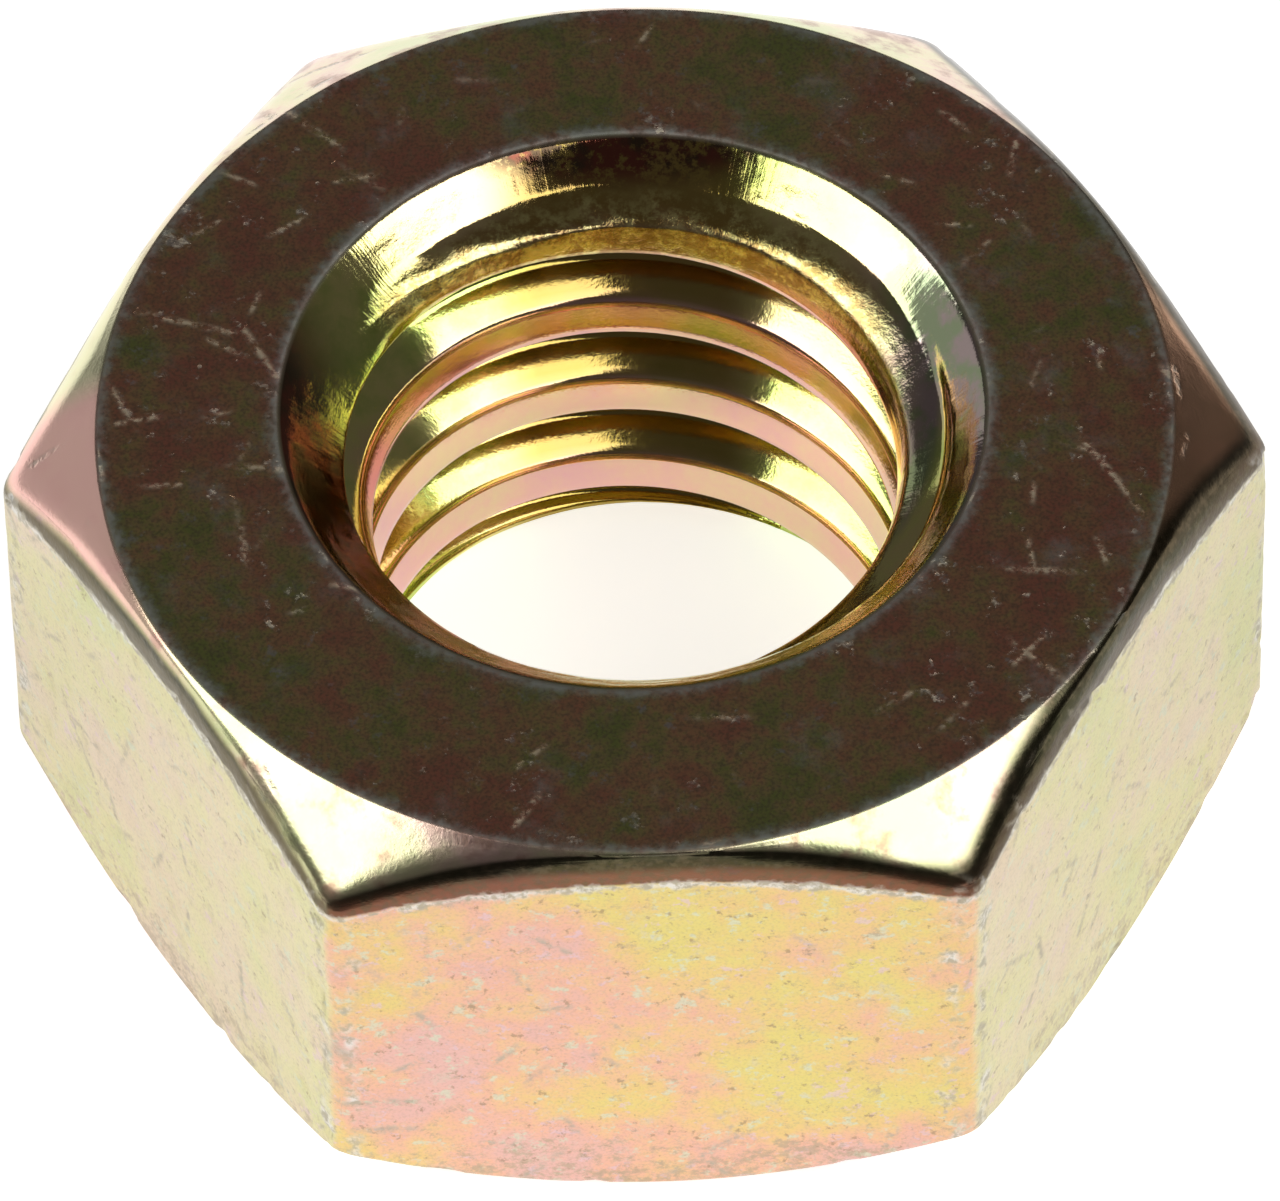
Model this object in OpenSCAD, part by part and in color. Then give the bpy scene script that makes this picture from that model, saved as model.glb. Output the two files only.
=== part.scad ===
// Plain quarter inch hex nut with a coarse thread of 20 turns to the inch.
// Millimetres. The thread axis is Z, the bottom face is at z = 0 and two corners point along X.

/* [Body] */
// Width across the flats
across_flats = 11.1; // [9.5:0.1:13]
// Thickness from the bottom face to the top face
thickness = 5.55; // [4.5:0.05:8]
// Radius of the six upright edges
edge_radius = 0.3; // [0.1:0.05:0.6]

/* [Chamfers] */
// Diameter of the flat circle that the chamfer leaves on each face
face_circle_d = 10.8; // [9:0.1:11]
// Slope of both chamfers, in degrees away from the face
chamfer_angle = 38; // [20:1:45]

/* [Thread] */
// Major diameter, at the floor of the groove
major_d = 6.35; // [6:0.05:6.6]
// Minor diameter, at the crests
minor_d = 5.4; // [5:0.05:5.6]
// Distance from one crest to the next
pitch = 1.27; // [1:0.01:1.5]
// Turn of the whole thread about its axis
thread_turn = 300; // [0:5:355]

/* [Countersinks] */
// Diameter of the top countersink where it meets the face
top_countersink_d = 7.1; // [6.6:0.05:7.6]
// Diameter of the bottom countersink where it meets the face
bottom_countersink_d = 6.4; // [6.4:0.05:7.6]
// Included angle of both countersinks
countersink_angle = 90; // [80:5:140]

/* [Hidden] */
$fn = 96;
overlap = 0.2;
groove_flank_angle = 30;
groove_steps = 36;
groove_floor_w = pitch / 8;
crest_w = pitch - groove_floor_w - (major_d - minor_d) * tan(groove_flank_angle);
groove_reach = min(overlap, crest_w / 4 / tan(groove_flank_angle));
groove_inner_r = minor_d / 2 - groove_reach;
groove_inner_w = groove_floor_w + 2 * (major_d / 2 - groove_inner_r) * tan(groove_flank_angle);
groove_turns = ceil(thickness / pitch) + 2;
corner_reach = across_flats / cos(30) / 2 + overlap;
countersink_slope = tan(countersink_angle / 2);

// Outline of the nut from above: six flats joined by rounded corners.
module hex_outline() {
    flat_length = (across_flats - 2 * edge_radius) * tan(30);
    corner_r = (across_flats / 2 - edge_radius) / cos(30);
    for (turn = [0 : 60 : 120])
        rotate(turn)
            square([flat_length, across_flats], center = true);
    for (turn = [0 : 60 : 300])
        rotate(turn)
            translate([corner_r, 0])
                circle(r = edge_radius);
}

// Turned blank that puts the chamfers on both faces.
module chamfered_disc() {
    face_r = face_circle_d / 2;
    drop = (corner_reach - face_r) * tan(chamfer_angle);
    rotate_extrude()
        polygon([
            [0, 0],
            [face_r, 0],
            [corner_reach, drop],
            [corner_reach, thickness - drop],
            [face_r, thickness],
            [0, thickness]
        ]);
}

// How deep a countersink of diameter d goes before it meets the bore.
function countersink_depth(d) = (d - minor_d) / 2 / countersink_slope;

// Plain bore at the minor diameter, opening into a countersink at each face.
module bore_and_countersinks() {
    minor_r = minor_d / 2;
    spread = overlap * countersink_slope;
    rotate_extrude()
        polygon([
            [0, -overlap],
            [bottom_countersink_d / 2 + spread, -overlap],
            [minor_r, countersink_depth(bottom_countersink_d)],
            [minor_r, thickness - countersink_depth(top_countersink_d)],
            [top_countersink_d / 2 + spread, thickness + overlap],
            [0, thickness + overlap]
        ]);
}

// The corners of the thread groove's section after it has turned by angle a.
function groove_section(a) =
    let (mid_z = pitch * (a / 360 - 1))
    [
        for (corner = [
            [groove_inner_r, -groove_inner_w / 2],
            [major_d / 2, -groove_floor_w / 2],
            [major_d / 2, groove_floor_w / 2],
            [groove_inner_r, groove_inner_w / 2]
        ])
        [corner[0] * cos(a), corner[0] * sin(a), mid_z + corner[1]]
    ];

// Right-hand helical groove that starts below the bottom face and ends above the top face.
// Its section reaches a little way into the bore, never so far that neighbouring turns meet.
module thread_groove() {
    steps = groove_turns * groove_steps;
    points = [for (i = [0 : steps]) each groove_section(360 * i / groove_steps)];
    sides = [
        for (i = [0 : steps - 1], j = [0 : 3])
        let (a = 4 * i + j, b = 4 * i + (j + 1) % 4)
        each [[a, b, b + 4], [a, b + 4, a + 4]]
    ];
    start_cap = [3, 2, 1, 0];
    end_cap = [for (j = [0 : 3]) 4 * steps + j];
    rotate(thread_turn)
        polyhedron(points, concat([start_cap], sides, [end_cap]));
}

// The whole nut, cut from one blank.
module hex_nut() {
    color("tan")
        difference() {
            intersection() {
                linear_extrude(thickness)
                    hex_outline();
                chamfered_disc();
            }
            bore_and_countersinks();
            thread_groove();
        }
}

hex_nut();
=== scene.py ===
# A plain hex nut in yellow chromate zinc-plated steel, on a pale floor under two softboxes and a
# low fill light.
# The nut's own shape is worked out in millimetres and turned into metres when its mesh is made.
import math

import bpy
import numpy as np
from mathutils import Matrix, Vector, noise


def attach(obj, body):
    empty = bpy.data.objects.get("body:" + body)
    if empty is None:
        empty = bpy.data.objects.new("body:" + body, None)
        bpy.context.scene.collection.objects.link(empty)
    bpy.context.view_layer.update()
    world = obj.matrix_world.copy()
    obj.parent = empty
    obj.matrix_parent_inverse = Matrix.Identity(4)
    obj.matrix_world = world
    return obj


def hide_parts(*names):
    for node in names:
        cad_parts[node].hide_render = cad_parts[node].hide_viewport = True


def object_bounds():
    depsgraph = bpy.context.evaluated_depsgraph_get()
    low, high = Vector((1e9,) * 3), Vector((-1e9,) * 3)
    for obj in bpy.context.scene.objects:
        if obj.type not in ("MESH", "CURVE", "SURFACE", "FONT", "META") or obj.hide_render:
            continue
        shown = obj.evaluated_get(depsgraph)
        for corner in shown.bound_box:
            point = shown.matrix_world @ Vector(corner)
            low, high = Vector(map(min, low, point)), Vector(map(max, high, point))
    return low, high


MM = 0.001

# The nut's own sizes, the same as in the CAD source.
ACROSS_FLATS = 11.1
THICKNESS = 5.55
EDGE_RADIUS = 0.3
FACE_CIRCLE_R = 5.4
CHAMFER_SLOPE = math.tan(math.radians(38))
MAJOR_R = 3.175
MINOR_R = 2.7
PITCH = 1.27
THREAD_TURN = math.radians(300)
FLANK_SLOPE = math.tan(math.radians(30))
COUNTERSINK_R = 3.55
BOTTOM_COUNTERSINK_R = 3.2
COUNTERSINK_SLOPE = math.tan(math.radians(45))
SIXTH = math.radians(60)

# How the crests lean and how much is gone from their upper edge.
CREST_LEAN = math.tan(math.radians(13))
CREST_TRIM = 0.14

# Depths below a face between which the thread comes up, at a point and for its whole crest.
LEDGE_DEPTHS = (0.37, 0.47)
FADE_DEPTHS = (0.32, 0.55)

# How round the change is at the crest's edges, at the groove's floor and at the countersinks.
CREST_BLEND = 0.03
FLOOR_BLEND = 0.04
CONE_BLEND = 0.02

# How far the bore and the turned top face run out from the hexagon's own centre.
BORE_OFFSET = (-0.01, 0.12)
FACE_OFFSET = (0.01, -0.07)

# How far the rounding of each edge reaches from it.
BRIM_REACH = 0.42
BRIM_SHARE_OF_CHAMFER = 0.9
BOTTOM_REACH = 0.06
FACE_CIRCLE_REACH = 0.035
MOUTH_REACH_ON_FACE = 0.06
MOUTH_REACH_INWARD = 0.16
SHOULDER_AT_CORNER = 0.16
SHOULDER_IN_FLAT = 0.38

# How finely the mesh follows the shape. The outside's steps run from the top mouth to the bottom one.
FLAT_STEPS = 46
CORNER_STEPS = 6
ROUND_STEPS = 7
OUTSIDE_STEPS = (3, 14, 5, 30, 4, 8, 3)

# Rows through one pitch, from mid-groove to mid-groove, as (start, stop, steps).
PITCH_SPANS = (
    (0.0, 0.2, 5),
    (0.2, 0.245, 5),
    (0.245, 0.42, 5),
    (0.42, 0.46, 3),
    (0.46, 0.54, 2),
    (0.54, 0.58, 3),
    (0.58, 0.755, 5),
    (0.755, 0.8, 5),
    (0.8, 1.0, 5),
)

# The outside and the bore meet this far inside each mouth. Rows nearer than SNAP end there.
RIM_DROP = 0.17
SNAP = 0.004

# Where the outside and the bore lie in the texture map.
UV_EDGE = 0.01
UV_WIDTH = 0.98
OUTSIDE_UV_HEIGHT = 0.5
BORE_UV_START = 0.55
BORE_UV_HEIGHT = 0.44

# Depths of the hollows, pits, nicks and grit pressed into the surface.
HOLLOW_DEPTH = 0.008
PIT_DEPTH = 0.02
NICK_DEPTH = 0.03
GRIT_DEPTH = 0.003


# ---------------------------------------------------------------- shape

def ramp_up(value, start, stop):
    """0 below start, 1 above stop, and smooth between."""
    share = np.clip((value - start) / (stop - start), 0, 1)
    return share * share * (3 - 2 * share)


def corner_half_angle():
    """Half the angle that one rounded upright edge takes up, seen from the axis."""
    spread = SIXTH / 2
    centre = (ACROSS_FLATS / 2 - EDGE_RADIUS) / math.cos(spread)
    return math.atan2(EDGE_RADIUS * math.sin(spread), centre + EDGE_RADIUS * math.cos(spread))


def from_corner(angles):
    """The angle between each of these and the nearest corner."""
    return np.abs((angles + SIXTH / 2) % SIXTH - SIXTH / 2)


def eased(steps, share=0.5):
    """Fractions from 0 up to 1, closer together at both ends."""
    even = np.arange(steps) / steps
    return (1 - share) * even + share * (1 - np.cos(math.pi * even)) / 2


def column_angles():
    """Angles of the mesh's columns, close together round the six upright edges."""
    edge = corner_half_angle()
    angles = []
    for side in range(6):
        corner = math.radians(60 * side)
        angles += list(corner - edge + 2 * edge * np.arange(CORNER_STEPS) / CORNER_STEPS)
        angles += list(corner + edge + (SIXTH - 2 * edge) * eased(FLAT_STEPS))
    return np.array(angles)


def outline_radius(angles):
    """Distance from the axis to the side of the nut at each angle."""
    off = from_corner(angles)
    centre = (ACROSS_FLATS / 2 - EDGE_RADIUS) / math.cos(SIXTH / 2)
    inside = np.maximum(EDGE_RADIUS**2 - (centre * np.sin(off)) ** 2, 0)
    rounded = centre * np.cos(off) + np.sqrt(inside)
    flat = ACROSS_FLATS / 2 / np.cos(SIXTH / 2 - off)
    return np.where(off > corner_half_angle(), flat, rounded)


def offset_radius(radius, angles, offset):
    """Distance from the nut's axis to a circle of this radius round an offset centre."""
    along = offset[0] * np.cos(angles) + offset[1] * np.sin(angles)
    across = offset[0] * np.sin(angles) - offset[1] * np.cos(angles)
    return along + np.sqrt(radius**2 - across**2)


def bent_line(corners, straight_steps):
    """Rows of points along a bent line, one line for each column.

    Each corner is (r, z, reach), r and z arrays with one value a column, and reach is how far from
    the corner its rounding starts. A fourth value is how far after the corner it ends, if that differs.
    The first and the last corner are the ends of the line.
    """
    points = [np.stack([corner[0], corner[1]], axis=1) for corner in corners]
    rows = []
    at = points[0]
    for index in range(1, len(points)):
        here = points[index]
        back = points[index - 1] - here
        back /= np.linalg.norm(back, axis=1)[:, None]
        last = index == len(points) - 1
        reach = 0 if last else np.broadcast_to(corners[index][2], len(here))[:, None]
        first = here + back * reach
        rows += [at + (first - at) * share for share in eased(straight_steps[index - 1], 0.7)]
        if last:
            rows.append(here)
            break
        ahead = points[index + 1] - here
        ahead /= np.linalg.norm(ahead, axis=1)[:, None]
        end = here + ahead * np.broadcast_to(corners[index][-1], len(here))[:, None]
        for step in range(ROUND_STEPS):
            t = step / ROUND_STEPS
            rows.append((1 - t) ** 2 * first + 2 * t * (1 - t) * here + t**2 * end)
        at = end
    return np.array(rows)


def shoulder_height(angles):
    """How far down the side the rounded shoulder under the chamfer ends: most in mid-flat."""
    off = from_corner(angles) / (SIXTH / 2)
    return SHOULDER_AT_CORNER + (SHOULDER_IN_FLAT - SHOULDER_AT_CORNER) * np.sin(off * math.pi / 2)


def outside_rows(angles):
    """Rows from inside the top mouth, over the top, down the sides and under to the bottom mouth."""
    one = np.ones_like(angles)
    side = outline_radius(angles)
    step_in = RIM_DROP * COUNTERSINK_SLOPE
    mouth = offset_radius(COUNTERSINK_R, angles, BORE_OFFSET)
    inner = offset_radius(COUNTERSINK_R - step_in, angles, BORE_OFFSET)
    bottom_mouth = offset_radius(BOTTOM_COUNTERSINK_R, angles, BORE_OFFSET)
    bottom_inner = offset_radius(BOTTOM_COUNTERSINK_R - step_in, angles, BORE_OFFSET)
    top_circle = offset_radius(FACE_CIRCLE_R, angles, FACE_OFFSET)
    bottom_circle = FACE_CIRCLE_R * one
    top_edge = THICKNESS - (side - top_circle) * CHAMFER_SLOPE
    bottom_edge = (side - bottom_circle) * CHAMFER_SLOPE
    top_reach = np.minimum(BRIM_REACH, BRIM_SHARE_OF_CHAMFER * (side - top_circle))
    down = shoulder_height(angles)
    corners = [
        (inner, (THICKNESS - RIM_DROP) * one, 0),
        (mouth, THICKNESS * one, MOUTH_REACH_INWARD, MOUTH_REACH_ON_FACE),
        (top_circle, THICKNESS * one, FACE_CIRCLE_REACH),
        (side, top_edge, top_reach, down),
        (side, bottom_edge, BOTTOM_REACH),
        (bottom_circle, 0 * one, FACE_CIRCLE_REACH),
        (bottom_mouth, 0 * one, MOUTH_REACH_ON_FACE, MOUTH_REACH_INWARD),
        (bottom_inner, RIM_DROP * one, 0),
    ]
    return bent_line(corners, OUTSIDE_STEPS)


def row_phases():
    """Where rows lie within one pitch of the thread, from 0 up to 1."""
    phases = []
    for start, stop, steps in PITCH_SPANS:
        phases += list(start + (stop - start) * np.arange(steps) / steps)
    return np.array(phases)


def soft_max(a, b, blend):
    """The larger of two values, with a rounded change from one to the other."""
    return (a + b + np.sqrt((a - b) ** 2 + blend**2)) / 2


def bore_radius(angle, z):
    """Radius of the threaded bore with its two countersinks, about the bore's own axis."""
    turns = (z / PITCH) - (angle - THREAD_TURN) / (2 * math.pi) + 0.5
    above_crest = (turns - np.round(turns)) * PITCH
    half_crest = PITCH / 2 - PITCH / 16 - (MAJOR_R - MINOR_R) * FLANK_SLOPE
    past_crest = max(above_crest - half_crest + CREST_TRIM, -above_crest - half_crest)
    groove = MINOR_R + past_crest / FLANK_SLOPE
    crest = MINOR_R + above_crest * CREST_LEAN
    thread = -soft_max(-soft_max(groove, crest, CREST_BLEND), -MAJOR_R, FLOOR_BLEND)
    from_end = min(z, THICKNESS - z)
    top_cone = COUNTERSINK_R - (THICKNESS - z) / COUNTERSINK_SLOPE
    bottom_cone = BOTTOM_COUNTERSINK_R - z / COUNTERSINK_SLOPE
    crest_from_end = min(z - above_crest, THICKNESS - z + above_crest)
    raised = ramp_up(from_end, *LEDGE_DEPTHS) * ramp_up(crest_from_end, *FADE_DEPTHS)
    cut = soft_max(thread, max(top_cone, bottom_cone), CONE_BLEND)
    return cut + (thread - cut) * raised


class Shell:
    """The nut's vertices and faces, built up strip by strip."""

    def __init__(self):
        self.points = []
        self.faces = []
        self.uvs = []

    def add(self, radius, angle, z):
        self.points.append((radius * math.cos(angle), radius * math.sin(angle), z))
        return len(self.points) - 1

    def face(self, corners, uvs):
        """A face from its corners, leaving out corners that fall together."""
        kept = []
        for index, corner in enumerate(corners):
            if corner != corners[index - 1]:
                kept.append(index)
        if len(kept) > 2:
            self.faces.append([corners[index] for index in kept])
            self.uvs += [uvs[index] for index in kept]


def add_outside(shell, angles):
    """The outside of the nut. Returns its first and last ring of vertices."""
    rows = outside_rows(angles)
    count = len(angles)
    rings = []
    for row in rows:
        rings.append([shell.add(row[i, 0], angles[i], row[i, 1]) for i in range(count)])
    last = len(rows) - 1
    for j in range(last):
        for i in range(count):
            n = (i + 1) % count
            corners = [rings[j][i], rings[j + 1][i], rings[j + 1][n], rings[j][n]]
            u0, u1 = (UV_EDGE + UV_WIDTH * k / count for k in (i, i + 1))
            v0, v1 = (UV_EDGE + OUTSIDE_UV_HEIGHT * k / last for k in (j, j + 1))
            shell.face(corners, [(u0, v0), (u0, v1), (u1, v1), (u1, v0)])
    return rings[0], rings[-1]


def add_bore(shell, angles, top_ring, bottom_ring):
    """The threaded bore, in rows that follow the thread and stop at the two given rings."""
    phases = row_phases()
    per_turn = len(phases)
    count = len(angles)
    known = {}

    def height(i, j):
        turn, row = divmod(j, per_turn)
        rise = (angles[i % count] - THREAD_TURN) / (2 * math.pi) + i // count
        return PITCH * (turn + phases[row] + rise)

    def vertex(i, j):
        """The vertex at column i and row j, with its height."""
        z = height(i, j)
        column = i % count
        if z > THICKNESS - RIM_DROP - SNAP:
            return top_ring[column], THICKNESS - RIM_DROP
        if z < RIM_DROP + SNAP:
            return bottom_ring[column], RIM_DROP
        key = (column, j + per_turn * (i // count))
        if key not in known:
            radius = bore_radius(angles[column], z)
            known[key] = shell.add(offset_radius(radius, angles[column], BORE_OFFSET), angles[column], z)
        return known[key], z

    turns = math.ceil(THICKNESS / PITCH) + 2
    for j in range(-per_turn, turns * per_turn):
        for i in range(count):
            around = [vertex(i, j), vertex(i, j + 1), vertex(i + 1, j + 1), vertex(i + 1, j)]
            us = [UV_EDGE + UV_WIDTH * k / count for k in (i, i, i + 1, i + 1)]
            vs = [BORE_UV_START + BORE_UV_HEIGHT * z / THICKNESS for _, z in around]
            shell.face([index for index, _ in around], list(zip(us, vs)))


def surface_facts(points):
    """What part of the nut each vertex is on, and how far it is from the sharp edges, in mm."""
    angle = np.arctan2(points[:, 1], points[:, 0])
    radius = np.hypot(points[:, 0], points[:, 1])
    z = points[:, 2]
    from_end = np.minimum(z, THICKNESS - z)
    side = outline_radius(angle)
    mouth_r = np.where(z > THICKNESS / 2, COUNTERSINK_R, BOTTOM_COUNTERSINK_R)
    mouth = offset_radius(mouth_r, angle, BORE_OFFSET)
    face_circle = offset_radius(FACE_CIRCLE_R, angle, FACE_OFFSET)
    brim = (side - face_circle) * CHAMFER_SLOPE
    own_radius = np.hypot(points[:, 0] - BORE_OFFSET[0], points[:, 1] - BORE_OFFSET[1])
    bore = 1 - ramp_up(radius - mouth, -0.02, 0.03)
    inside_cone = mouth_r - from_end / COUNTERSINK_SLOPE - own_radius
    return {
        "bore": bore,
        "side": ramp_up(from_end - brim, -0.02, 0.06) * (1 - bore),
        "face": ramp_up(face_circle - radius, -0.03, 0.03) * (1 - bore),
        "crest": (1 - ramp_up(own_radius, MINOR_R + 0.05, MINOR_R + 0.1)) * bore,
        "cone": ramp_up(inside_cone, -0.08, -0.02) * bore,
        "ridge": ramp_up(inside_cone, 0.03, 0.1) * bore,
        "from_bottom_brim": np.where(z < THICKNESS / 2, np.abs(z - brim), 1.0),
        "below_brim": THICKNESS - z - brim,
        "below_shoulder": THICKNESS - z - brim - shoulder_height(angle),
        "from_upright": from_corner(angle) * side,
        "from_mouth": np.abs(radius - mouth) + from_end,
        "from_circle": np.abs(radius - face_circle) + from_end,
    }


def noise_at(points, scale, seed, octaves=1):
    """Seeded noise from -1 to 1 at each point."""
    shift = Vector((seed, seed * 1.7, -seed))
    basis = "PERLIN_ORIGINAL"
    return np.array([
        noise.fractal(Vector(p) * scale + shift, 1.0, 2.0, octaves, noise_basis=basis) for p in points
    ])


def vertex_array(mesh):
    """The mesh's vertices in millimetres."""
    points = np.zeros(len(mesh.vertices) * 3)
    mesh.vertices.foreach_get("co", points)
    return points.reshape(-1, 3) / MM


def roughen(mesh, facts):
    """Press shallow hollows, pits and nicks into the surface and grit into the countersinks."""
    points = vertex_array(mesh)
    normals = np.zeros(len(points) * 3)
    mesh.vertex_normals.foreach_get("vector", normals)
    waves = noise_at(points, 0.9, 3)
    pits = noise_at(points, 3.2, 11, 3)
    nicks = noise_at(points, 7.0, 23, 2)
    near_brim = np.exp(-np.abs(facts["below_shoulder"]) / 0.08) + np.exp(-facts["from_bottom_brim"] / 0.1)
    near_brim *= 1 - facts["bore"]
    near_upright = np.exp(-np.abs(facts["from_upright"] - 0.16) / 0.07) * facts["side"]
    depth = HOLLOW_DEPTH * (waves + 1) * (1 - facts["bore"])
    depth += PIT_DEPTH * ramp_up(pits, 0.15, 0.7) * facts["side"]
    depth += NICK_DEPTH * ramp_up(pits + 0.4 * nicks, 0.1, 0.9) * near_brim
    depth += NICK_DEPTH * ramp_up(nicks + 0.4 * pits, 0.05, 0.8) * near_upright
    depth += GRIT_DEPTH * (nicks + 0.6) * facts["cone"]
    points -= normals.reshape(-1, 3) * depth[:, None]
    points[:, 2] = np.clip(points[:, 2], 0, THICKNESS)
    mesh.vertices.foreach_set("co", (points * MM).ravel())


def nut_mesh():
    """The nut's mesh in metres, with its surface facts, its dents and its texture map."""
    angles = column_angles()
    shell = Shell()
    top_ring, bottom_ring = add_outside(shell, angles)
    add_bore(shell, angles, top_ring, bottom_ring)
    mesh = bpy.data.meshes.new("hex_nut_body")
    mesh.from_pydata([tuple(c * MM for c in p) for p in shell.points], [], shell.faces)
    facts = surface_facts(vertex_array(mesh))
    for name, values in facts.items():
        mesh.attributes.new(name, "FLOAT", "POINT").data.foreach_set("value", values)
    roughen(mesh, facts)
    mesh.uv_layers.new(name="OFBake")
    mesh.uv_layers["OFBake"].data.foreach_set("uv", [c for uv in shell.uvs for c in uv])
    mesh.polygons.foreach_set("use_smooth", [True] * len(mesh.polygons))
    return mesh


# ---------------------------------------------------------------- material

# Bare metal, dirt and haze on the coating.
BARE_ZINC = (0.70, 0.68, 0.64)
DIRTY_ZINC = (0.42, 0.38, 0.30)
PALE_SCRATCH = (0.60, 0.54, 0.40)
GRIME = (0.40, 0.32, 0.22)
GREY_PATCH = (0.56, 0.50, 0.40)
DARK_DOT = (0.28, 0.20, 0.12)
GRAIN_SHADOW = (0.30, 0.26, 0.20)
FACE_GRAIN_SHADOW = (0.26, 0.22, 0.16)
HAZE = (0.62, 0.64, 0.60)

# Specks and patches of the chromate film, with the colours of painted shade and painted sparkle among
# them.
GREEN_SPECK = (0.55, 0.58, 0.44)
LILAC_SPECK = (0.62, 0.46, 0.52)
BLUE_SPECK = (0.75, 0.78, 0.80)
OLIVE_SPECK = (0.46, 0.44, 0.24)
CHAMFER_BROWN = (0.34, 0.20, 0.13)
CHAMFER_RED = (0.62, 0.34, 0.20)
CHAMFER_MAUVE = (0.84, 0.50, 0.44)
CHAMFER_KHAKI = (0.74, 0.72, 0.46)
# Painted shade on the thread flanks in the middle of the bore's back wall.
BACK_WALL_SHADE_GOLD = (0.34, 0.22, 0.05)
# Torn gold of the first ridge, and bright gold specks on it as painted sparkle highlights.
TORN_GOLD = (0.40, 0.26, 0.07)
SPARKLE_GOLD = (0.84, 0.76, 0.30)
# Painted shade on the countersinks, at their left and back.
COUNTERSINK_SHADE_RED = (0.22, 0.06, 0.045)
COUNTERSINK_SHADE_BROWN = (0.09, 0.06, 0.04)
GREY_GREEN = (0.34, 0.40, 0.24)
GREY_MAUVE = (0.48, 0.38, 0.36)
# Painted shade on the rounded shoulder under the brim, in place of its dark reflection.
SHOULDER_SHADE_BLACK = (0.035, 0.032, 0.016)
SHOULDER_SHADE_SPECK = (0.10, 0.08, 0.045)
SHOULDER_SHADE_LEFT = (0.13, 0.105, 0.065)
SHOULDER_SHADE_RIGHT = (0.07, 0.045, 0.028)
SHOULDER_SHADE_FRONT = (0.19, 0.075, 0.045)

# Clouds of tint, as (place, colour) stops from one end of the cloud noise to the other.
FRONT_TINTS = (
    (0.0, (0.64, 0.54, 0.18)),
    (0.3, (0.68, 0.49, 0.20)),
    (0.55, (0.70, 0.45, 0.25)),
    (0.8, (0.70, 0.40, 0.29)),
    (1.0, (0.66, 0.40, 0.35)),
)
SIDE_TINTS = (
    (0.0, (0.56, 0.56, 0.27)),
    (0.45, (0.62, 0.57, 0.30)),
    (0.75, (0.64, 0.56, 0.34)),
    (1.0, (0.65, 0.53, 0.38)),
)
FACE_TINTS = (
    (0.0, (0.50, 0.58, 0.18)),
    (0.35, (0.78, 0.62, 0.26)),
    (0.6, (0.88, 0.52, 0.27)),
    (1.0, (0.86, 0.36, 0.24)),
)
CHAMFER_TINTS = (
    (0.0, (0.54, 0.58, 0.30)),
    (0.5, (0.70, 0.62, 0.40)),
    (1.0, (0.70, 0.48, 0.42)),
)
FLANK_TINTS = (
    (0.0, (0.50, 0.66, 0.16)),
    (0.45, (0.82, 0.78, 0.28)),
    (1.0, (0.86, 0.66, 0.34)),
)
CREST_TINTS = (
    (0.0, (0.78, 0.62, 0.36)),
    (0.5, (0.84, 0.52, 0.40)),
    (1.0, (0.80, 0.44, 0.46)),
)


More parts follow.
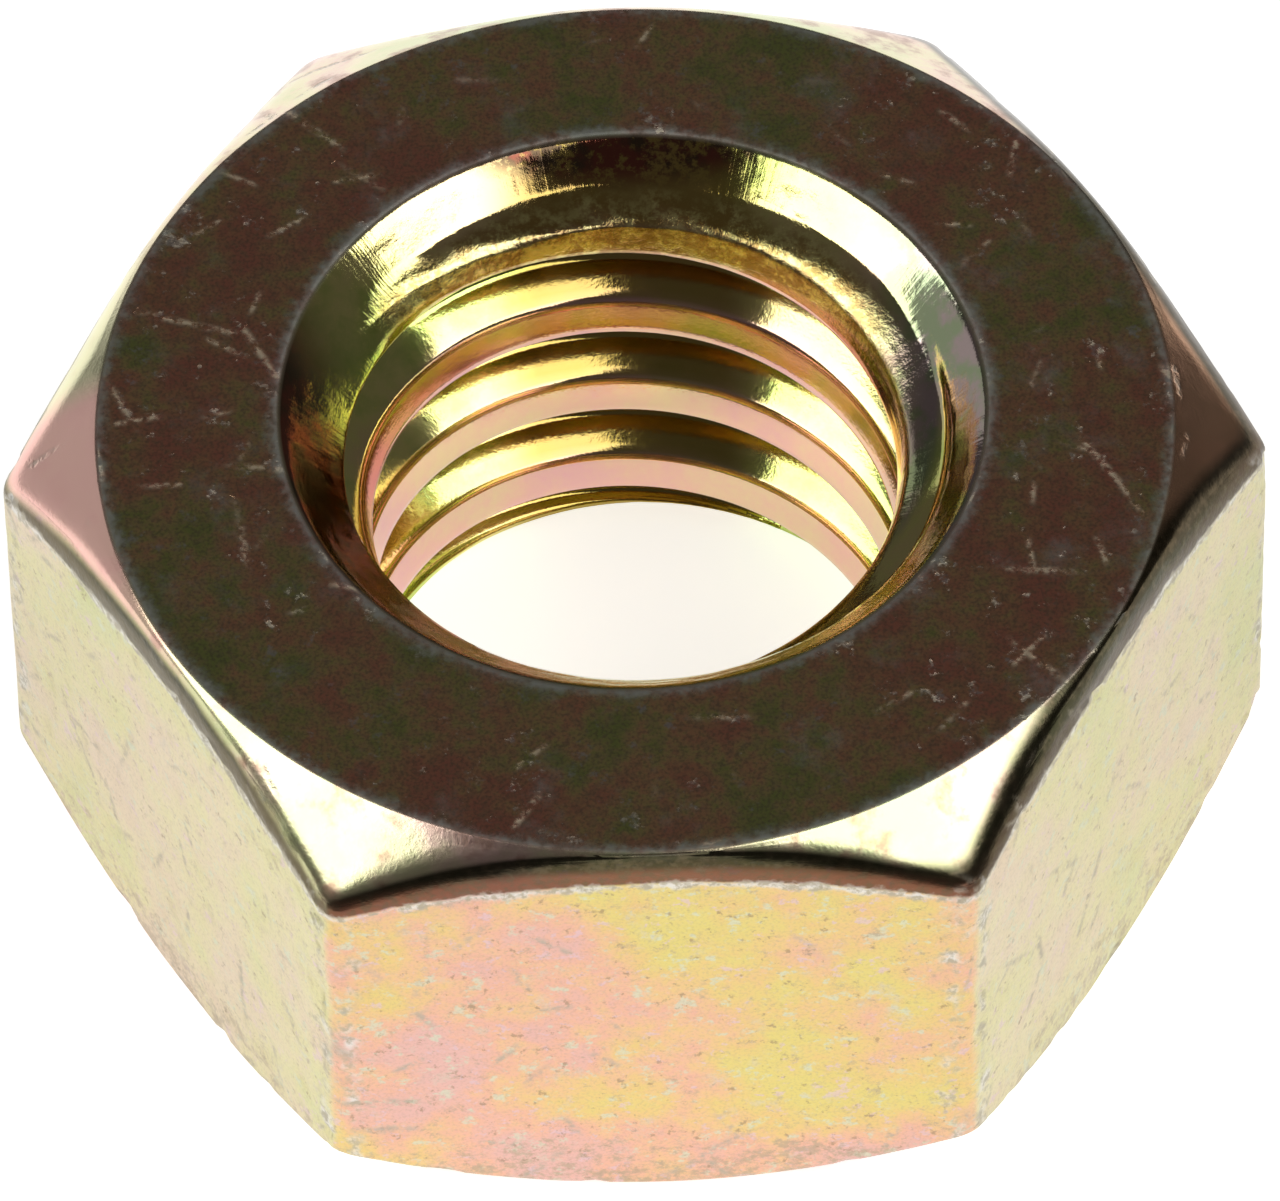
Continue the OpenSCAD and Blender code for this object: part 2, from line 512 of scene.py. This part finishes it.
class Nodes:
    """Short calls that add a node, join its inputs and hand back its output."""

    def __init__(self, tree):
        self.tree = tree

    def fill(self, socket, value):
        """Join a node's output to the socket, or set a plain value on it."""
        if isinstance(value, bpy.types.NodeSocket):
            self.tree.links.new(value, socket)
        elif socket.type == "RGBA":
            socket.default_value = (*value, 1)
        else:
            socket.default_value = value

    def add(self, kind, inputs, output=0, **settings):
        node = self.tree.nodes.new("ShaderNode" + kind)
        for name, value in settings.items():
            setattr(node, name, value)
        for name, value in inputs.items():
            self.fill(node.inputs[name], value)
        return node.outputs[output]

    def math(self, operation, a, b=0.0, c=0.0):
        return self.add("Math", {0: a, 1: b, 2: c}, operation=operation)

    def product(self, first, *factors):
        """All the values multiplied together."""
        for factor in factors:
            first = self.math("MULTIPLY", first, factor)
        return first

    def total(self, start, *terms):
        """The start value and all the (weight, value) terms added together."""
        for weight, value in terms:
            start = self.math("MULTIPLY_ADD", value, weight, start)
        return start

    def vector(self, operation, a, b=(0, 0, 0), output=0):
        return self.add("VectorMath", {0: a, 1: b}, output, operation=operation)

    def fact(self, name):
        """One of the values that surface_facts gives each vertex."""
        return self.add("Attribute", {}, "Fac", attribute_name=name)

    def noise(self, where, scale, detail=3.0, seed=0.0, roughness=0.5):
        """Noise from 0 to 1, most of it between 0.3 and 0.7. The scale is in grains a millimetre."""
        inputs = {"Vector": where, "W": seed, "Scale": scale, "Detail": detail, "Roughness": roughness}
        return self.add("TexNoise", inputs, noise_dimensions="4D")

    def step(self, value, start, stop, low=0.0, high=1.0):
        """A smooth change from low to high as the value goes from start to stop."""
        inputs = {"Value": value, 1: start, 2: stop, 3: low, 4: high}
        return self.add("MapRange", inputs, interpolation_type="SMOOTHSTEP")

    def mix(self, share, a, b):
        """A colour between a and b."""
        node = self.tree.nodes.new("ShaderNodeMix")
        node.data_type = "RGBA"
        factor, colour_a, colour_b = node.inputs[0], node.inputs[6], node.inputs[7]
        self.fill(factor, share)
        self.fill(colour_a, a)
        self.fill(colour_b, b)
        return node.outputs[2]

    def ramp(self, value, stops):
        """A colour for each value, from (place, colour) stops."""
        node = self.tree.nodes.new("ShaderNodeValToRGB")
        self.tree.links.new(value, node.inputs[0])
        elements = node.color_ramp.elements
        while len(elements) < len(stops):
            elements.new(0.5)
        for element, (place, colour) in zip(elements, stops):
            element.position = place
            element.color = (*colour, 1)
        return node.outputs[0]

    def layers(self, colour, rows):
        """Colours laid over the first, one for each (value, start, stop, share, colour).

        Each rises from nothing to its share as its value goes from start to stop.
        """
        for value, start, stop, share, over in rows:
            colour = self.mix(self.step(value, start, stop, 0.0, share), colour, over)
        return colour

    def scratches(self, where, scale, width, length, seed):
        """Short straight scratches lying in the surface, one in each cell: 1 on a scratch, 0 off it."""
        shifted = self.vector("ADD", where, (seed, seed, seed))
        cell = self.tree.nodes.new("ShaderNodeTexVoronoi")
        self.tree.links.new(shifted, cell.inputs["Vector"])
        cell.inputs["Scale"].default_value = scale
        middle = self.vector("SUBTRACT", shifted, cell.outputs["Position"])
        normal = self.add("NewGeometry", {}, "Normal")
        chance = self.vector("SUBTRACT", cell.outputs["Color"], (0.5, 0.5, 0.5))
        across = self.vector("NORMALIZE", self.vector("CROSS_PRODUCT", normal, chance))
        off = self.math("ABSOLUTE", self.vector("DOT_PRODUCT", middle, across, "Value"))
        far = self.vector("LENGTH", middle, output="Value")
        narrow = self.step(far, 0.0, length, width, 0.0)
        return self.product(self.step(off, 0.0, width, 1.0, 0.0), self.step(narrow, 0.0, width * 0.4))


class Coating(Nodes):
    """Zinc plating under a yellow chromate film: what its parts share, then a method for each part.

    Places and distances are in millimetres. The nut's front is at -Y and its left at -X.
    """

    def __init__(self, tree):
        super().__init__(tree)
        inputs = {"Vector": self.add("TexCoord", {}, "Object"), "Scale": 1 / MM}
        self.where = self.add("VectorMath", inputs, operation="SCALE")
        self.x, self.y, self.z = (self.add("SeparateXYZ", {"Vector": self.where}, axis) for axis in "XYZ")
        self.side = self.fact("side")
        self.face = self.fact("face")
        self.bore = self.fact("bore")
        self.cone = self.fact("cone")
        self.ridge = self.fact("ridge")
        self.below_shoulder = self.fact("below_shoulder")
        self.outer = self.math("SUBTRACT", self.math("SUBTRACT", 1.0, self.face), self.bore)
        towards_y = self.add("SeparateXYZ", {"Vector": self.add("NewGeometry", {}, "Normal")}, "Y")
        self.front_or_back = self.step(self.math("ABSOLUTE", towards_y), 0.6, 0.9)

        stretched = self.vector("MULTIPLY", self.where, (1.0, 1.0, 1.25))
        self.broad = self.noise(self.where, scale=0.55, detail=2.0, seed=1.0)
        self.middle = self.noise(self.where, scale=2.2, detail=4.0, seed=5.0, roughness=0.6)
        self.fine = self.noise(self.where, scale=9.0, detail=4.0, seed=9.0, roughness=0.65)
        self.grain = self.noise(self.where, scale=28.0, detail=2.0, seed=13.0)
        self.specks = self.noise(stretched, scale=4.5, detail=4.0, seed=17.0, roughness=0.7)
        self.dirt = self.noise(stretched, scale=5.5, detail=5.0, seed=21.0, roughness=0.75)
        self.cloud = self.total(0.0, (1.5, self.broad), (0.5, self.middle), (0.25, self.fine))
        self.ragged = self.math("MULTIPLY", self.total(-1.0, (1.0, self.fine), (1.0, self.middle)), 0.5)

    def flat_colour(self):
        """Salmon, orange and yellow clouds in front and behind, straw and khaki on the other flats."""
        cloud = self.step(self.cloud, 0.85, 1.4)
        colour = self.mix(self.front_or_back, self.ramp(cloud, SIDE_TINTS), self.ramp(cloud, FRONT_TINTS))
        more_near_the_floor = self.step(self.z, 1.2, 0.3, 0.0, 0.1)
        grime = self.math("ADD", self.dirt, more_near_the_floor)
        dots = self.noise(self.where, scale=8.0, detail=3.0, seed=25.0, roughness=0.7)
        patches = self.noise(self.where, scale=3.0, detail=5.0, seed=29.0, roughness=0.7)
        return self.layers(colour, [
            (self.specks, 0.56, 0.66, 0.75, GREEN_SPECK),
            (self.specks, 0.42, 0.34, 0.6, LILAC_SPECK),
            (grime, 0.55, 0.70, 0.75, GRIME),
            (dots, 0.59, 0.70, 0.65, DARK_DOT),
            (patches, 0.56, 0.72, 0.6, GREY_PATCH),
            (self.grain, 0.45, 0.7, 0.22, GRAIN_SHADOW),
        ])

    def face_colour(self):
        """Maroon and olive clouds on the top and the bottom."""
        drift = self.total(0.0, (1.1, self.broad), (1.5, self.middle), (0.5, self.fine))
        return self.layers(self.ramp(self.step(drift, 1.2, 1.85), FACE_TINTS), [
            (self.fine, 0.45, 0.65, 0.4, OLIVE_SPECK),
            (self.grain, 0.4, 0.7, 0.5, FACE_GRAIN_SHADOW),
            (self.specks, 0.58, 0.70, 0.5, BLUE_SPECK),
        ])

    def chamfer_colour(self):
        """Pale yellow-green, mauve and khaki at the left corner, red-brown at the right one."""
        left = self.mix(self.step(self.y, 0.4, 0.9), CHAMFER_MAUVE, CHAMFER_KHAKI)
        return self.layers(self.ramp(self.step(self.cloud, 0.85, 1.4), CHAMFER_TINTS), [
            (self.middle, 0.5, 0.66, 0.8, CHAMFER_BROWN),
            (self.x, -4.2, -5.4, 0.9, left),
            (self.x, 4.4, 5.4, 0.9, CHAMFER_RED),
        ])

    def shoulder_painted_shade(self):
        """Painted shade under the brim, standing for the dark surroundings that the rounded shoulder
        reflects: black at the top, then red-brown in front and behind and grey-brown elsewhere.
        """
        lower = self.mix(self.step(self.x, 1.5, 3.5), SHOULDER_SHADE_LEFT, SHOULDER_SHADE_RIGHT)
        lower = self.mix(self.front_or_back, lower, SHOULDER_SHADE_FRONT)
        return self.layers(SHOULDER_SHADE_BLACK, [
            (self.below_shoulder, -0.3, -0.14, 1.0, lower),
            (self.fine, 0.45, 0.62, 0.6, SHOULDER_SHADE_SPECK),
        ])

    def shoulder_shade_band(self):
        """Where the shoulder gets its painted shade: from the brim down, and from higher up except at the
        left.
        """
        reach = self.math("MAXIMUM", self.front_or_back, self.step(self.x, 1.5, 3.5))
        top = self.step(self.total(self.fact("below_brim"), (0.24, reach)), -0.04, 0.1)
        end = self.step(self.below_shoulder, 0.01, -0.04)
        return self.product(top, end, self.outer, 0.95)

    def thread_colour(self):
        """Green gold flanks with painted shade of deeper gold in the middle at the back, pink crests, and
        torn gold with painted sparkle highlights on the first ridge.
        """
        cloud = self.step(self.cloud, 0.8, 1.5)
        near_middle = self.step(self.math("ABSOLUTE", self.x), 1.6, 0.9)
        # Painted shade: deeper gold on the flanks in the middle of the back wall.
        painted_shade_at_back = self.product(near_middle, self.step(self.y, 2.0, 2.5), 0.85)
        flank = self.mix(painted_shade_at_back, self.ramp(cloud, FLANK_TINTS), BACK_WALL_SHADE_GOLD)
        colour = self.mix(self.fact("crest"), flank, self.ramp(cloud, CREST_TINTS))
        # Torn gold on the first ridge, with specks of bright gold as painted sparkle highlights.
        torn_gold_and_sparkle = self.mix(self.step(self.dirt, 0.42, 0.6), TORN_GOLD, SPARKLE_GOLD)
        return self.mix(self.product(self.ridge, 0.8), colour, torn_gold_and_sparkle)

    def bore_colour(self):
        """The thread's colours, with the countersinks grey at the right, and painted shade in dark red and
        brown at the left and back.
        """
        patches = self.step(self.middle, 0.42, 0.6)
        greyed = self.mix(patches, GREY_GREEN, GREY_MAUVE)
        countersink_shade = self.mix(patches, COUNTERSINK_SHADE_RED, COUNTERSINK_SHADE_BROWN)
        to_the_left = self.vector("DOT_PRODUCT", self.where, (-0.87, -0.5, 0), "Value")
        painted_shade_at_back = self.product(self.step(self.y, 3.2, 3.45), self.step(self.dirt, 0.40, 0.52))
        # Painted shade on the countersinks: a dark patch at the left, and one at the back broken up by
        # noise.
        countersink_shade_mask = self.math("MAXIMUM", self.step(to_the_left, 1.7, 2.7), painted_shade_at_back)
        right_cone = self.product(self.cone, self.step(self.x, 2.2, 3.0))
        colour = self.mix(right_cone, self.thread_colour(), greyed)
        return self.mix(self.product(self.cone, countersink_shade_mask, 0.96), colour, countersink_shade)

    def wear(self):
        """Where the film has gone: along the brims and beside the upright edges, broken up by noise."""
        shoulder_end = self.math("ABSOLUTE", self.math("SUBTRACT", self.below_shoulder, 0.02))
        brim = self.math("MINIMUM", shoulder_end, self.fact("from_bottom_brim"))
        brim = self.step(self.total(brim, (0.5, self.ragged)), 0.085, 0.0, 0.0, 0.9)
        brim = self.product(brim, self.side, self.outer)
        beside = self.math("ABSOLUTE", self.math("SUBTRACT", self.fact("from_upright"), 0.17))
        patchy = self.noise(self.where, scale=3.5, detail=2.0, seed=41.0)
        patchy = self.total(-0.4, (0.9, patchy))
        upright = self.total(beside, (1.0, self.ragged), (1.0, patchy))
        upright = self.product(self.step(upright, 0.14, -0.10, 0.0, 0.9), self.side)
        return self.math("MAXIMUM", brim, upright)

    def haze(self):
        """Pale haze on the faces: round the mouth, round the face circle and in soft patches."""
        near_circle = self.math("ADD", self.fact("from_circle"), 0.03)
        ring = self.math("MINIMUM", self.fact("from_mouth"), near_circle)
        ring = self.step(self.total(ring, (0.6, self.ragged)), 0.2, 0.0, 0.0, 0.85)
        patches = self.noise(self.where, scale=1.3, detail=5.0, seed=33.0, roughness=0.7)
        patches = self.step(patches, 0.52, 0.74, 0.0, 0.55)
        return self.product(self.math("MAXIMUM", ring, patches), self.face)

    def marks(self):
        """Scratches of two sizes on the outside, and specks on the faces, in some places only."""
        long = self.scratches(self.where, scale=0.6, width=0.085, length=0.9, seed=3.0)
        short = self.scratches(self.where, scale=1.3, width=0.07, length=0.35, seed=8.0)
        specks = self.product(self.face, self.step(self.specks, 0.57, 0.68))
        marks = self.math("MAXIMUM", self.math("MAXIMUM", long, short), specks)
        outside = self.math("SUBTRACT", 1.0, self.bore)
        some_places = self.product(self.step(self.fine, 0.38, 0.62), self.step(self.broad, 0.42, 0.56))
        return self.product(marks, outside, some_places)

    def colour(self, wear, haze, marks):
        """The colour everywhere: part by part, then the painted shade on the shoulder, wear, haze and
        marks over them.
        """
        colour = self.mix(self.face, self.chamfer_colour(), self.face_colour())
        colour = self.mix(self.side, colour, self.flat_colour())
        # Painted shade on the shoulder under the brim.
        colour = self.mix(self.shoulder_shade_band(), colour, self.shoulder_painted_shade())
        colour = self.mix(self.bore, colour, self.bore_colour())
        zinc = self.mix(self.step(self.fine, 0.42, 0.58), DIRTY_ZINC, BARE_ZINC)
        colour = self.mix(wear, colour, zinc)
        colour = self.mix(haze, colour, HAZE)
        return self.mix(self.product(marks, 0.8), colour, self.mix(self.face, DIRTY_ZINC, PALE_SCRATCH))

    def roughness(self, wear, haze, marks):
        """Roughness: least in the bore, most in the haze and in the marks on the faces."""
        in_marks = self.total(0.12, (0.32, self.face))
        return self.total(
            0.1,
            (0.16, self.middle),
            (0.16, self.side),
            (0.3, haze),
            (0.15, wear),
            (in_marks, marks),
            (-0.09, self.bore),
            (0.05, self.ridge),
        )

    def height(self, marks):
        """Relief in millimetres: fine grain, pitted flats, a torn ridge and spokes on the countersinks."""
        round_axis = self.vector("NORMALIZE", self.vector("MULTIPLY", self.where, (1, 1, 0)))
        spokes = self.noise(round_axis, scale=34.0, detail=3.0, seed=37.0, roughness=0.6)
        return self.total(
            0.0,
            (0.0007, self.grain),
            (0.0012, self.fine),
            (0.012, self.product(self.side, self.specks)),
            (0.0028, self.product(self.cone, self.dirt)),
            (0.007, self.product(self.ridge, self.dirt)),
            (0.004, self.product(self.cone, spokes)),
            (-0.005, marks),
        )


def new_material(name):
    material = bpy.data.materials.new(name)
    material.use_nodes = True
    return material, material.node_tree.nodes["Principled BSDF"]


def chromate_material():
    """Yellow chromate on zinc, with its rainbow tints, wear, haze, scratches and pits."""
    material, shader = new_material("plated_steel_chromate")
    coating = Coating(material.node_tree)
    wear, haze, marks = coating.wear(), coating.haze(), coating.marks()
    relief = {"Height": coating.height(marks), "Distance": MM, "Strength": 1.0}
    coating.fill(shader.inputs["Base Color"], coating.colour(wear, haze, marks))
    coating.fill(shader.inputs["Roughness"], coating.roughness(wear, haze, marks))
    coating.fill(shader.inputs["Normal"], coating.add("Bump", relief))
    coating.fill(shader.inputs["Metallic"], 1.0)
    return material


# ---------------------------------------------------------------- stage

CAMERA_ELEVATION = math.radians(51.98)
CAMERA_TURN = math.radians(-0.624)
CAMERA_ROLL = math.radians(-1.235)
CAMERA_DISTANCE = 0.1665
LENS = 461.5
LENS_SHIFT = (0.0019, -0.0106)
CLIP_RANGE = (0.01, 20)

# The floor lies just under the nut, so that the two don't touch.
FLOOR_HALF_SIZE = 3.0
FLOOR_Z = -0.00002
FLOOR_GREY = (0.9, 0.9, 0.9)
FLOOR_ROUGHNESS = 0.9
FLOOR_GLOW = 0.68
WORLD_COLOUR = (0.075, 0.07, 0.07)

# Lights, as (name, direction from the nut, up, size, brightness).
LIGHT_DISTANCE = 0.6
LIGHTS = (
    ("softbox_right", (0.58, -0.33, 0.74), (-0.58, 0.49, 0.65), (0.48, 0.42), 3.0),
    ("softbox_left", (-0.77, -0.19, 0.62), (0.38, 0.72, 0.59), (0.54, 0.36), 3.0),
    ("fill_left", (-0.95, 0.3, 0.19), (0, 0, 1), (0.66, 0.26), 0.42),
)


def add_camera(target):
    """The camera, looking down at the nut from the front with a long lens."""
    level, rise = math.cos(CAMERA_ELEVATION), math.sin(CAMERA_ELEVATION)
    away = Vector((math.sin(CAMERA_TURN) * level, -math.cos(CAMERA_TURN) * level, rise))
    right = Vector((math.cos(CAMERA_TURN), math.sin(CAMERA_TURN), 0))
    up = away.cross(right)
    turned_right = right * math.cos(CAMERA_ROLL) + up * math.sin(CAMERA_ROLL)
    turned_up = up * math.cos(CAMERA_ROLL) - right * math.sin(CAMERA_ROLL)
    data = bpy.data.cameras.new("camera")
    data.lens = LENS
    data.shift_x, data.shift_y = LENS_SHIFT
    data.clip_start, data.clip_end = CLIP_RANGE
    camera = bpy.data.objects.new("camera", data)
    turn = Matrix((turned_right, turned_up, away)).transposed().to_4x4()
    camera.matrix_world = Matrix.Translation(target + away * CAMERA_DISTANCE) @ turn
    bpy.context.collection.objects.link(camera)
    bpy.context.scene.camera = camera


def add_light(name, direction, up, size, brightness):
    """A rectangular light that faces the nut from this direction."""
    data = bpy.data.lights.new(name, "AREA")
    data.shape = "RECTANGLE"
    data.size, data.size_y = size
    data.energy = brightness * size[0] * size[1] * math.pi
    light = bpy.data.objects.new(name, data)
    away = Vector(direction).normalized()
    across = Vector(up).cross(away).normalized()
    turn = Matrix((across, away.cross(across), away)).transposed().to_4x4()
    light.matrix_world = Matrix.Translation(away * LIGHT_DISTANCE) @ turn
    bpy.context.collection.objects.link(light)


def add_floor():
    """A pale, faintly glowing floor."""
    mesh = bpy.data.meshes.new("floor")
    corners = [(-1, -1), (1, -1), (1, 1), (-1, 1)]
    points = [(x * FLOOR_HALF_SIZE, y * FLOOR_HALF_SIZE, FLOOR_Z) for x, y in corners]
    mesh.from_pydata(points, [], [(0, 1, 2, 3)])
    floor = bpy.data.objects.new("floor", mesh)
    bpy.context.collection.objects.link(floor)
    material, shader = new_material("floor_white")
    shader.inputs["Base Color"].default_value = (*FLOOR_GREY, 1)
    shader.inputs["Roughness"].default_value = FLOOR_ROUGHNESS
    shader.inputs["Emission Color"].default_value = (1, 1, 1, 1)
    shader.inputs["Emission Strength"].default_value = FLOOR_GLOW
    mesh.materials.append(material)


def add_world():
    """Dim, even light from all round."""
    world = bpy.data.worlds.new("studio")
    world.use_nodes = True
    world.node_tree.nodes["Background"].inputs["Color"].default_value = (*WORLD_COLOUR, 1)
    bpy.context.scene.world = world


# ---------------------------------------------------------------- scene

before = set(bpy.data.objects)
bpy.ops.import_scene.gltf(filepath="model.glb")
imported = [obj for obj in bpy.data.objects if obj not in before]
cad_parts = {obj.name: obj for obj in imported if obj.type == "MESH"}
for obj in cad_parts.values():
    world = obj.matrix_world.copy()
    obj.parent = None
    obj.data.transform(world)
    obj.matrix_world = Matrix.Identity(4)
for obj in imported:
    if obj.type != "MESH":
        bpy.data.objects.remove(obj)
cad_low, cad_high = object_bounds()

add_camera(Vector((0, 0, (cad_high[2] + cad_low[2]) / 2)))
add_world()
add_floor()
for light in LIGHTS:
    add_light(*light)

nut = bpy.data.objects.new("hex_nut_body", nut_mesh())
bpy.context.collection.objects.link(nut)
nut.data.materials.append(chromate_material())
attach(nut, "root")
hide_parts("hex_nut")

bpy.context.scene.view_settings.view_transform = "Standard"
